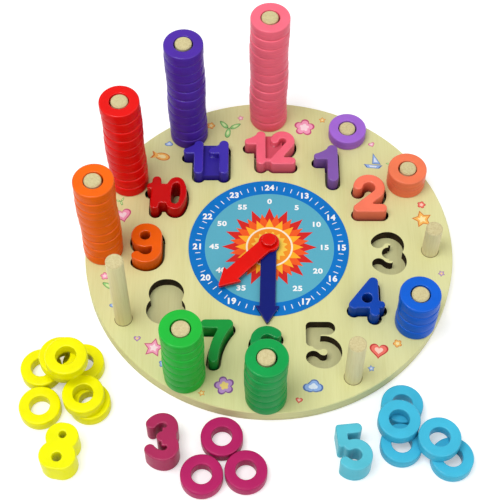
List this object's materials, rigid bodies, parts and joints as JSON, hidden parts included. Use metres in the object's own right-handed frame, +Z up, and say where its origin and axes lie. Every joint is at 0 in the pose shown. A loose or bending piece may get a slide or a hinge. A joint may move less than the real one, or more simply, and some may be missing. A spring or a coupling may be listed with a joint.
{
  "type": "teaching clock board",
  "caption": "Round wooden teaching clock with turning hands, lift-out number blocks in matching cut-outs, and counting rings on pegs of rising height.",
  "frame": {"origin": "centre of the board's underside, on the table", "axes": "+Z up through the dial; +Y to twelve o'clock; +X to three o'clock"},
  "size_m": [0.3333, 0.352, 0.1364],
  "materials": {
    "board_wood": "pale plywood, clear coated",
    "peg_wood": "plain sanded dowel",
    "dial_print": "printed sheet, satin",
    "hand_blue": "glossy moulded plastic",
    "hand_red": "glossy moulded plastic",
    "pin_steel": "plain turned",
    "washer_nylon": "plain",
    "paint_lilac": "glossy paint on wood",
    "paint_coral": "glossy paint on wood",
    "paint_magenta": "glossy paint on wood",
    "paint_blue": "glossy paint on wood",
    "paint_light_blue": "glossy paint on wood",
    "paint_dark_green": "glossy paint on wood",
    "paint_green": "glossy paint on wood",
    "paint_yellow": "glossy paint on wood",
    "paint_orange": "glossy paint on wood",
    "paint_red": "glossy paint on wood",
    "paint_violet": "glossy paint on wood",
    "paint_pink": "glossy paint on wood"
  },
  "bodies": {
    "board": {"board_face": "board_wood", "board_back": "board_wood", "dial_print": "dial_print", "pivot_pin": "pin_steel", "hub_cap": "hand_red", "lower_washer": "washer_nylon", "upper_washer": "washer_nylon", "peg_1": "peg_wood", "peg_2": "peg_wood", "peg_3": "peg_wood", "peg_4": "peg_wood", "peg_5": "peg_wood", "peg_6": "peg_wood", "peg_7": "peg_wood", "peg_8": "peg_wood", "peg_9": "peg_wood", "peg_10": "peg_wood", "peg_11": "peg_wood", "peg_12": "peg_wood"},
    "minute_hand": {"minute_hand": "hand_blue"},
    "hour_hand": {"hour_hand": "hand_red"},
    "numeral_1": {"numeral_1": "paint_lilac"},
    "rings_1": {"rings_1": "paint_lilac"},
    "numeral_2": {"numeral_2": "paint_coral"},
    "rings_2": {"rings_2": "paint_coral"},
    "numeral_3": {"numeral_3": "paint_magenta"},
    "loose_ring_3_1": {"loose_ring_3_1": "paint_magenta"},
    "loose_ring_3_2": {"loose_ring_3_2": "paint_magenta"},
    "loose_ring_3_3": {"loose_ring_3_3": "paint_magenta"},
    "numeral_4": {"numeral_4": "paint_blue"},
    "rings_4": {"rings_4": "paint_blue"},
    "numeral_5": {"numeral_5": "paint_light_blue"},
    "loose_ring_5_1": {"loose_ring_5_1": "paint_light_blue"},
    "loose_ring_5_2": {"loose_ring_5_2": "paint_light_blue"},
    "loose_ring_5_3": {"loose_ring_5_3": "paint_light_blue"},
    "loose_ring_5_4": {"loose_ring_5_4": "paint_light_blue"},
    "loose_ring_5_5": {"loose_ring_5_5": "paint_light_blue"},
    "numeral_6": {"numeral_6": "paint_dark_green"},
    "rings_6": {"rings_6": "paint_dark_green"},
    "numeral_7": {"numeral_7": "paint_green"},
    "rings_7": {"rings_7": "paint_green"},
    "numeral_8": {"numeral_8": "paint_yellow"},
    "loose_ring_8_1": {"loose_ring_8_1": "paint_yellow"},
    "loose_ring_8_2": {"loose_ring_8_2": "paint_yellow"},
    "loose_ring_8_3": {"loose_ring_8_3": "paint_yellow"},
    "loose_ring_8_4": {"loose_ring_8_4": "paint_yellow"},
    "loose_ring_8_5": {"loose_ring_8_5": "paint_yellow"},
    "loose_ring_8_6": {"loose_ring_8_6": "paint_yellow"},
    "loose_ring_8_7": {"loose_ring_8_7": "paint_yellow"},
    "loose_ring_8_8": {"loose_ring_8_8": "paint_yellow"},
    "numeral_9": {"numeral_9": "paint_orange"},
    "rings_9": {"rings_9": "paint_orange"},
    "numeral_10": {"numeral_10": "paint_red"},
    "rings_10": {"rings_10": "paint_red"},
    "numeral_11": {"numeral_11": "paint_violet"},
    "rings_11": {"rings_11": "paint_violet"},
    "numeral_12": {"numeral_12": "paint_pink"},
    "rings_12": {"rings_12": "paint_pink"}
  },
  "joints": [
    {"name": "minute_hand_turn", "type": "hinge", "parent": "board", "child": "minute_hand", "pos_m": [0, 0, 0.0129], "axis": [0, 0, 1], "continuous": true},
    {"name": "hour_hand_turn", "type": "hinge", "parent": "board", "child": "hour_hand", "pos_m": [0, 0, 0.0164], "axis": [0, 0, 1], "continuous": true},
    {"name": "numeral_1_lift", "type": "slide", "parent": "board", "child": "numeral_1", "axis": [0, 0, 1], "range_m": [0, 0.03]},
    {"name": "rings_1_lift", "type": "slide", "parent": "board", "child": "rings_1", "axis": [0, 0, 1], "range_m": [0, 0.018]},
    {"name": "numeral_2_lift", "type": "slide", "parent": "board", "child": "numeral_2", "axis": [0, 0, 1], "range_m": [0, 0.03]},
    {"name": "rings_2_lift", "type": "slide", "parent": "board", "child": "rings_2", "axis": [0, 0, 1], "range_m": [0, 0.029]},
    {"name": "numeral_3_lift", "type": "slide", "parent": "board", "child": "numeral_3", "axis": [0, 0, 1], "range_m": [0, 0.03]},
    {"name": "numeral_4_lift", "type": "slide", "parent": "board", "child": "numeral_4", "axis": [0, 0, 1], "range_m": [0, 0.03]},
    {"name": "rings_4_lift", "type": "slide", "parent": "board", "child": "rings_4", "axis": [0, 0, 1], "range_m": [0, 0.049]},
    {"name": "numeral_5_lift", "type": "slide", "parent": "board", "child": "numeral_5", "axis": [0, 0, 1], "range_m": [0, 0.03]},
    {"name": "numeral_6_lift", "type": "slide", "parent": "board", "child": "numeral_6", "axis": [0, 0, 1], "range_m": [0, 0.03]},
    {"name": "rings_6_lift", "type": "slide", "parent": "board", "child": "rings_6", "axis": [0, 0, 1], "range_m": [0, 0.07]},
    {"name": "numeral_7_lift", "type": "slide", "parent": "board", "child": "numeral_7", "axis": [0, 0, 1], "range_m": [0, 0.03]},
    {"name": "rings_7_lift", "type": "slide", "parent": "board", "child": "rings_7", "axis": [0, 0, 1], "range_m": [0, 0.08]},
    {"name": "numeral_8_lift", "type": "slide", "parent": "board", "child": "numeral_8", "axis": [0, 0, 1], "range_m": [0, 0.03]},
    {"name": "numeral_9_lift", "type": "slide", "parent": "board", "child": "numeral_9", "axis": [0, 0, 1], "range_m": [0, 0.03]},
    {"name": "rings_9_lift", "type": "slide", "parent": "board", "child": "rings_9", "axis": [0, 0, 1], "range_m": [0, 0.101]},
    {"name": "numeral_10_lift", "type": "slide", "parent": "board", "child": "numeral_10", "axis": [0, 0, 1], "range_m": [0, 0.03]},
    {"name": "rings_10_lift", "type": "slide", "parent": "board", "child": "rings_10", "axis": [0, 0, 1], "range_m": [0, 0.111]},
    {"name": "numeral_11_lift", "type": "slide", "parent": "board", "child": "numeral_11", "axis": [0, 0, 1], "range_m": [0, 0.03]},
    {"name": "rings_11_lift", "type": "slide", "parent": "board", "child": "rings_11", "axis": [0, 0, 1], "range_m": [0, 0.121]},
    {"name": "numeral_12_lift", "type": "slide", "parent": "board", "child": "numeral_12", "axis": [0, 0, 1], "range_m": [0, 0.03]},
    {"name": "rings_12_lift", "type": "slide", "parent": "board", "child": "rings_12", "axis": [0, 0, 1], "range_m": [0, 0.132]},
    {"name": "loose_ring_3_1_lift", "type": "slide", "parent": "board", "child": "loose_ring_3_1", "axis": [0, 0, 1], "range_m": [0, 0.06]},
    {"name": "loose_ring_3_2_lift", "type": "slide", "parent": "board", "child": "loose_ring_3_2", "axis": [0, 0, 1], "range_m": [0, 0.06]},
    {"name": "loose_ring_3_3_lift", "type": "slide", "parent": "board", "child": "loose_ring_3_3", "axis": [0, 0, 1], "range_m": [0, 0.06]},
    {"name": "loose_ring_5_1_slide", "type": "slide", "parent": "board", "child": "loose_ring_5_1", "axis": [1, 0, 0], "range_m": [0, 0.03]},
    {"name": "loose_ring_5_2_lift", "type": "slide", "parent": "board", "child": "loose_ring_5_2", "axis": [0, 0, 1], "range_m": [0, 0.06]},
    {"name": "loose_ring_5_3_slide", "type": "slide", "parent": "board", "child": "loose_ring_5_3", "axis": [0.7071, -0.7071, 0], "range_m": [0, 0.02]},
    {"name": "loose_ring_5_4_lift", "type": "slide", "parent": "loose_ring_5_2", "child": "loose_ring_5_4", "axis": [0, 0, 1], "range_m": [0, 0.06]},
    {"name": "loose_ring_5_5_lift", "type": "slide", "parent": "loose_ring_5_2", "child": "loose_ring_5_5", "axis": [0, 0, 1], "range_m": [0, 0.06]},
    {"name": "loose_ring_8_2_lift", "type": "slide", "parent": "board", "child": "loose_ring_8_2", "axis": [0, 0, 1], "range_m": [0, 0.06]},
    {"name": "loose_ring_8_1_lift", "type": "slide", "parent": "loose_ring_8_2", "child": "loose_ring_8_1", "axis": [0, 0, 1], "range_m": [0, 0.02]},
    {"name": "loose_ring_8_6_lift", "type": "slide", "parent": "loose_ring_8_1", "child": "loose_ring_8_6", "axis": [0, 0, 1], "range_m": [0, 0.02]},
    {"name": "loose_ring_8_7_lift", "type": "slide", "parent": "loose_ring_8_6", "child": "loose_ring_8_7", "axis": [0, 0, 1], "range_m": [0, 0.02]},
    {"name": "loose_ring_8_8_lift", "type": "slide", "parent": "loose_ring_8_7", "child": "loose_ring_8_8", "axis": [0, 0, 1], "range_m": [0, 0.04]},
    {"name": "loose_ring_8_3_lift", "type": "slide", "parent": "board", "child": "loose_ring_8_3", "axis": [0, 0, 1], "range_m": [0, 0.06]},
    {"name": "loose_ring_8_4_slide", "type": "slide", "parent": "board", "child": "loose_ring_8_4", "axis": [1, 0, 0], "range_m": [0, 0.016]},
    {"name": "loose_ring_8_5_slide", "type": "slide", "parent": "loose_ring_8_4", "child": "loose_ring_8_5", "axis": [0.7071, -0.7071, 0], "range_m": [0, 0.02]}
  ]
}
